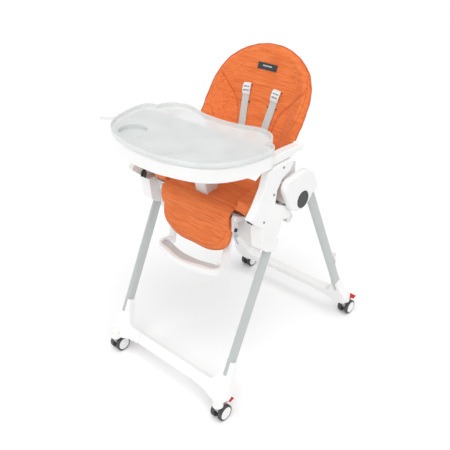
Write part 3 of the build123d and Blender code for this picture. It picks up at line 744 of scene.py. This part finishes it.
class HIGHCHAIR_OT_leg_pad(bpy.types.Operator):
    """Makes the leg pad that hangs from the front of the seat"""

    bl_idname = "highchair.leg_pad"
    bl_label = "Leg Pad"

    def execute(self, context):
        settings = context.scene.high_chair_pads
        obj = pad("leg_pad", "legrest_cushion", settings.inset * 0.8, 4)
        tree = tree_of(obj)
        sides = both_sides(((124, -6), (124, -52), (104, -92), (60, -112), (0, -118)))
        line = [*sides[0], *reversed(sides[1][:-1])]
        path = from_front(tree, smooth_line([leg_point(x, v) for x, v in line]), LEG_OUT)
        sew(obj, [(path, 0.0045, settings.groove * 0.35)])
        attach(obj, "legrest")
        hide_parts("legrest_cushion")
        outline = both_sides(((147, -8), (147, -56), (124, -108), (74, -132), (0, -138)))
        line = [*outline[0], *reversed(outline[1][:-1])]
        tree = tree_of(obj)
        bm = bmesh.new()
        path = on_surface(tree, smooth_line([leg_point(x, v, -0.009) for x, v in line], per_run=10), 0.0004)
        tube_mesh(bm, evened(path), settings.piping)
        finished("leg_piping", bm, MATERIALS["piping"], "legrest")
        return {"FINISHED"}


class HIGHCHAIR_OT_front_cover(bpy.types.Operator):
    """Makes the padded cover that folds over the front edge of the seat to the leg pad"""

    bl_idname = "highchair.front_cover"
    bl_label = "Front Cover"

    def execute(self, context):
        settings = context.scene.high_chair_pads
        profile = smooth_line([Vector((0, y, z)) for y, z in (
            (-0.148, 0.6155), (-0.166, 0.6195), (-0.183, 0.6215), (-0.196, 0.6180), (-0.2045, 0.6085),
            (-0.2085, 0.5950), (-0.2090, 0.5800), (-0.2065, 0.5650), (-0.2035, 0.5570))], per_run=4)
        rows = len(profile) - 1
        bm = bmesh.new()
        bmesh.ops.create_grid(bm, x_segments=48, y_segments=rows, size=0.5)
        middle = Vector((0, -0.170, 0.590))
        for v in bm.verts:
            row = profile[round((v.co.y + 0.5) * rows)]
            droop = 0.004 * (2 * abs(v.co.x)) ** 14
            v.co = row + (middle - row).normalized() * droop + ACROSS * (v.co.x * 0.277)
        bmesh.ops.recalc_face_normals(bm, faces=bm.faces)
        bmesh.ops.solidify(bm, geom=bm.faces[:], thickness=0.0035)
        obj = finished("front_cover", bm, MATERIALS["orange_fabric"], "seat_carriage",
                       sharp=None)
        obj.parent = None
        del obj["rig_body"]
        finer(obj)
        path = [Vector((x, -0.2000, 0.6165)) for x in np.linspace(-0.14, 0.14, 50)]
        sew(obj, [(path, 0.0040, settings.groove * 0.45)])
        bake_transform(obj)
        return {"FINISHED"}


class HIGHCHAIR_OT_harness(bpy.types.Operator):
    """Makes the shoulder straps, their adjusters, near-black sheets of painted shade in the slots behind
    them, and the corner tabs
    """

    bl_idname = "highchair.harness"
    bl_label = "Harness"

    def execute(self, context):
        tree = tree_of(PADS["back_pad"])
        straps, adjusters, slots = bmesh.new(), bmesh.new(), bmesh.new()
        for s in (-1, 1):
            line = [(s * 57, 3), (s * 56, -14), (s * 52, -56), (s * 45, -112), (s * 36, -176), (s * 30, -236)]
            middle = smooth_line([back_point(x, v) for x, v in line])
            lifted = from_front(tree, middle, BACK_OUT, 0.0030)
            lifted[0] -= BACK_OUT * 0.004
            steps = [b - a for a, b in zip(lifted[:-1], lifted[1:])]
            steps.append(steps[-1])
            acrosses = [BACK_OUT.cross(step).normalized() * STRAP_HALF for step in steps]
            ribbon(straps, lifted, acrosses, STRAP_THICK)
            # Each slot is a thin near-black sheet laid on the pad: painted shade in place of the opening.
            for v in (0, -50):
                x = s * (57 if v == 0 else 52)
                spot = from_front(tree, [back_point(x, v)], BACK_OUT, 0.0004)[0]
                turn = Matrix.Translation(spot) @ back_turn()
                cell = bmesh.ops.create_grid(slots, x_segments=8, y_segments=1, size=0.5,
                                             matrix=turn @ Matrix.Diagonal((SLOT_WIDTH, SLOT_HEIGHT, 1, 1)))
                slot_faces = list({f for w in cell["verts"] for f in w.link_faces})
                for w in cell["verts"]:
                    w.co = from_front(tree, [w.co], BACK_OUT, 0.0006)[0]
                bmesh.ops.solidify(slots, geom=slot_faces, thickness=0.0012)
            spot = from_front(tree, [back_point(s * 56, -13)], BACK_OUT, 0.0062)[0]
            lean = Matrix.Rotation(-s * math.radians(6), 4, "Z")
            ladder(adjusters, Matrix.Translation(spot) @ back_turn() @ lean)
        made = finished("harness_straps", straps, MATERIALS["webbing"], "backrest")
        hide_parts("shoulder_straps")
        made = finished("harness_adjusters", adjusters, MATERIALS["buckle_plastic"], "backrest")
        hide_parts("strap_adjusters")
        # Near-black sheets of painted shade over the slots.
        finished("strap_slot_shade", slots, MATERIALS["painted_slot_shade"], "backrest")
        tabs = bmesh.new()
        for s in (-1, 1):
            run = [Vector((s * TAB_X, y, z)) for y, z in (
                (-0.150, 0.652), (-0.170, 0.645), (-0.190, 0.636), (-0.202, 0.629), (-0.210, 0.624))]
            ribbon(tabs, run, [Vector((0, 0.0022, 0.0078))] * len(run), 0.0020)
            cross = [Vector((s * x, -0.2065, 0.626)) for x in (TAB_X, 0.220, 0.213, 0.2075)]
            ribbon(tabs, cross, [Vector((0, 0.0030, 0.0092))] * len(cross), 0.0026)
        made = finished("corner_tabs", tabs, MATERIALS["dark_webbing"], "seat_carriage")
        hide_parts("strap_tabs")
        return {"FINISHED"}


def back_turn():
    """Turns local x, y and z to across, up and out of the back."""
    return Matrix((ACROSS, BACK_UP, BACK_OUT)).transposed().to_4x4()


def ladder(bm, matrix):
    """A strap adjuster: a plate with two slots between three bars, its edges rounded."""
    part = bmesh.new()
    bmesh.ops.create_grid(part, x_segments=4, y_segments=7, size=0.5)
    columns = (-0.0150, -LADDER_OPEN, 0.0, LADDER_OPEN, 0.0150)
    rows = (-LADDER_HALF, -0.0145, *LADDER_SLOTS[0], *LADDER_SLOTS[1], 0.0130, LADDER_HALF)
    for v in part.verts:
        v.co = Vector((columns[round((v.co.x + 0.5) * 4)], rows[round((v.co.y + 0.5) * 7)], 0))
    holes = [f for f in part.faces if abs(f.calc_center_median().x) < LADDER_OPEN
             and any(a < f.calc_center_median().y < b for a, b in LADDER_SLOTS)]
    bmesh.ops.delete(part, geom=holes, context="FACES")
    for v in part.verts:
        v.co.z = -0.0022 + 0.0030 * (1 - (v.co.y / LADDER_HALF) ** 2)
    corner = [v for v in part.verts if abs(v.co.x) > 0.0145 and abs(v.co.y) > 0.0185]
    for v in corner:
        v.co.x *= 0.86
    bmesh.ops.solidify(part, geom=part.faces[:], thickness=0.0034)
    bmesh.ops.recalc_face_normals(part, faces=part.faces)
    rims = [e for e in part.edges if len(e.link_faces) == 2 and e.calc_face_angle(0) > 1.0]
    bmesh.ops.bevel(part, geom=rims, offset=0.0008, affect="EDGES", segments=2, profile=0.5, material=-1)
    mesh = bpy.data.meshes.new("part")
    part.transform(matrix)
    part.to_mesh(mesh)
    part.free()
    bm.from_mesh(mesh)
    bpy.data.meshes.remove(mesh)


class HIGHCHAIR_OT_label(bpy.types.Operator):
    """Makes the woven label on the back pad, with a plain stripe"""

    bl_idname = "highchair.label"
    bl_label = "Label"

    def execute(self, context):
        tree = tree_of(PADS["back_pad"])
        for name, width, height, centre, lift, thick, finish in (
                ("woven_label", 0.072, 0.020, (0, 65), 0.0018, 0.0014, "dark_label"),
                ("label_stripe", 0.034, 0.0038, (0, 66.5), 0.0022, 0.0010, "label_mark")):
            bm = bmesh.new()
            frame_here = Matrix.Translation(back_point(*centre)) @ back_turn()
            bmesh.ops.create_grid(bm, x_segments=16, y_segments=4, size=0.5,
                                  matrix=frame_here @ Matrix.Diagonal((width, height, 1, 1)))
            for v in bm.verts:
                v.co = from_front(tree, [v.co], BACK_OUT, lift)[0]
            bmesh.ops.recalc_face_normals(bm, faces=bm.faces)
            bmesh.ops.solidify(bm, geom=bm.faces[:], thickness=thick)
            is_label = name == "woven_label"
            made = finished(name, bm, MATERIALS[finish], "backrest")
            if is_label:
                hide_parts("back_label")
        return {"FINISHED"}


class HIGHCHAIR_OT_hubs(bpy.types.Operator):
    """Makes the dished hub discs of the twin wheels"""

    bl_idname = "highchair.hubs"
    bl_label = "Wheel Hubs"

    def execute(self, context):
        for caster in CASTERS:
            low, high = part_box(f"caster_wheels_{caster}")
            centre = (low + high) / 2
            half = (high.x - low.x) / 2
            bm = bmesh.new()
            for s in (-1, 1):
                profile = ((0.0, 0.0016), (0.0045, 0.0015), (0.0062, 0.0004),
                           (0.0072, -0.0004), (0.0150, 0.0000), (0.0178, 0.0010),
                           (0.0198, 0.0010), (0.0208, 0.0002), (0.0208, -0.0014))
                verts = [bm.verts.new((centre.x + s * (half + out), centre.y, centre.z + r))
                         for r, out in profile]
                edges = [bm.edges.new(p) for p in zip(verts[:-1], verts[1:])]
                bmesh.ops.spin(bm, geom=verts + edges, cent=centre, axis=ACROSS, angle=math.tau,
                               steps=HUB_STEPS, use_merge=True)
            bmesh.ops.remove_doubles(bm, verts=bm.verts, dist=1e-6)
            finished(f"hub_discs_{caster}", bm, MATERIALS["hub"], f"wheels_{caster}",
                     sharp=30)
        return {"FINISHED"}


class HIGHCHAIR_OT_stage(bpy.types.Operator):
    """Sets the floor, the light and the camera"""

    bl_idname = "highchair.stage"
    bl_label = "Stage"

    def execute(self, context):
        scene, settings = context.scene, context.scene.high_chair_stage
        bm = bmesh.new()
        bmesh.ops.create_grid(bm, x_segments=1, y_segments=1, size=settings.floor_size / 2)
        mesh = bpy.data.meshes.new("floor")
        bm.to_mesh(mesh)
        bm.free()
        floor = bpy.data.objects.new("floor", mesh)
        scene.collection.objects.link(floor)
        f = Finish("floor_paint")
        paint = f.blend(f.noise(0.8, 2.0), (0.93, 0.93, 0.93), (0.95, 0.95, 0.95))
        mesh.materials.append(f.surface(Base_Color=paint, Roughness=0.85))
        world = bpy.data.worlds.new("soft_sky")
        scene.world = world
        world.use_nodes = True
        backdrop = world.node_tree.nodes["Background"]
        backdrop.inputs["Color"].default_value = (1, 1, 1, 1)
        backdrop.inputs["Strength"].default_value = settings.sky
        seen = world.node_tree.nodes.new("ShaderNodeBackground")
        seen.inputs["Color"].default_value = (1, 1, 1, 1)
        seen.inputs["Strength"].default_value = SEEN_SKY
        path = world.node_tree.nodes.new("ShaderNodeLightPath")
        either = world.node_tree.nodes.new("ShaderNodeMixShader")
        links = world.node_tree.links
        links.new(path.outputs["Is Camera Ray"], either.inputs[0])
        links.new(backdrop.outputs[0], either.inputs[1])
        links.new(seen.outputs[0], either.inputs[2])
        links.new(either.outputs[0], world.node_tree.nodes["World Output"].inputs["Surface"])
        sun = bpy.data.lights.new("sun", "SUN")
        sun.energy, sun.angle = settings.sun_power, SUN_SPREAD
        fill = bpy.data.lights.new("fill", "AREA")
        fill.energy, fill.size = settings.fill_power, 1.2
        for light, place in ((sun, (0.7, -0.5, 1.9)), (fill, (-1.4, -1.6, 1.6))):
            lamp = bpy.data.objects.new(light.name, light)
            lamp.location = place
            lamp.rotation_euler = (LIGHT_AIM - Vector(place)).to_track_quat("-Z", "Y").to_euler()
            scene.collection.objects.link(lamp)
        lens = bpy.data.cameras.new("camera")
        lens.lens, lens.sensor_width = settings.lens, 36.0
        camera = bpy.data.objects.new("camera", lens)
        camera.location = CAMERA_PLACE
        aim = CAMERA_AIM - camera.location
        camera.rotation_euler = aim.to_track_quat("-Z", "Y").to_euler()
        scene.collection.objects.link(camera)
        scene.camera = camera
        scene.view_settings.view_transform = "Standard"
        return {"FINISHED"}


OPERATORS = (HIGHCHAIR_OT_finishes, HIGHCHAIR_OT_back_pad, HIGHCHAIR_OT_seat_pad, HIGHCHAIR_OT_leg_pad,
             HIGHCHAIR_OT_front_cover, HIGHCHAIR_OT_harness, HIGHCHAIR_OT_label, HIGHCHAIR_OT_hubs,
             HIGHCHAIR_OT_stage)


class HIGHCHAIR_PT_panel(bpy.types.Panel):
    """Settings and building steps of the high chair"""

    bl_idname = "HIGHCHAIR_PT_panel"
    bl_label = "High Chair"
    bl_space_type = "VIEW_3D"
    bl_region_type = "UI"
    bl_category = "High Chair"

    def draw(self, context):
        for group in ("high_chair_colours", "high_chair_pads", "high_chair_stage"):
            box = self.layout.box()
            settings = getattr(context.scene, group)
            for name in settings.__annotations__:
                box.prop(settings, name)
        for operator in OPERATORS:
            self.layout.operator(operator.bl_idname)


GROUPS = {"high_chair_colours": HighChairColours, "high_chair_pads": HighChairPads,
          "high_chair_stage": HighChairStage}


def register():
    for cls in (*GROUPS.values(), *OPERATORS, HIGHCHAIR_PT_panel):
        bpy.utils.register_class(cls)
    for name, cls in GROUPS.items():
        setattr(bpy.types.Scene, name, PointerProperty(type=cls))


def unregister():
    for name in GROUPS:
        delattr(bpy.types.Scene, name)
    for cls in reversed((*GROUPS.values(), *OPERATORS, HIGHCHAIR_PT_panel)):
        bpy.utils.unregister_class(cls)


def main():
    register()
    for operator in OPERATORS:
        module, name = operator.bl_idname.split(".")
        getattr(getattr(bpy.ops, module), name)()


if __name__ == "__main__":
    main()
